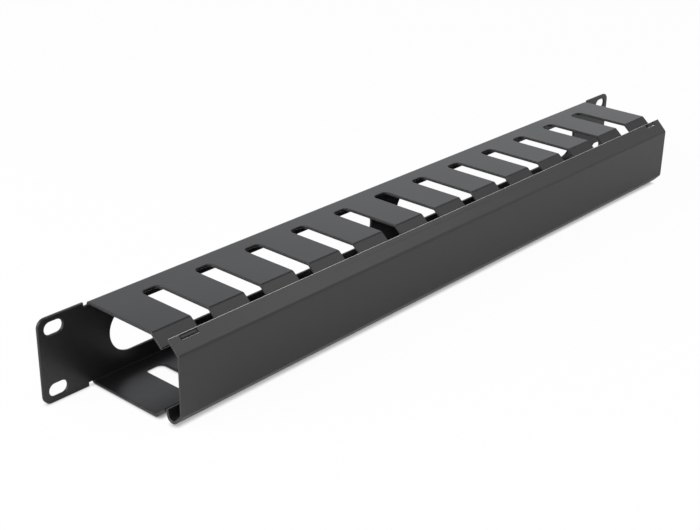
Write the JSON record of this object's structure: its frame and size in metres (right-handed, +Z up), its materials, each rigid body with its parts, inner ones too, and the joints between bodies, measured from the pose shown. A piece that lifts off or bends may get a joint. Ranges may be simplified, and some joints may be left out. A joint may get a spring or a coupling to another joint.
{
  "type": "horizontal cable manager",
  "caption": "Folded sheet-metal cable duct with slotted rack ears, open finger slots along its top and bottom, long cable holes in the back and a bent front cover hung on tabs.",
  "frame": {"origin": "centre of the four mounting slots, on the rear face of the ears and back", "axes": "+X along the length to the right as seen from the front, +Y backwards into the rack, +Z up; the front cover is at -Y"},
  "size_m": [0.4826, 0.064, 0.0442],
  "materials": {
    "body_coat": "fine satin black powder coat",
    "cover_coat": "fine satin black powder coat"
  },
  "bodies": {
    "duct": {"duct_body": "body_coat"},
    "cover": {"front_cover": "cover_coat"}
  },
  "joints": [
    {"name": "cover_lift", "type": "slide", "parent": "duct", "child": "cover", "axis": [0, -0.7009, 0.7133], "range_m": [0, 0.06]}
  ]
}
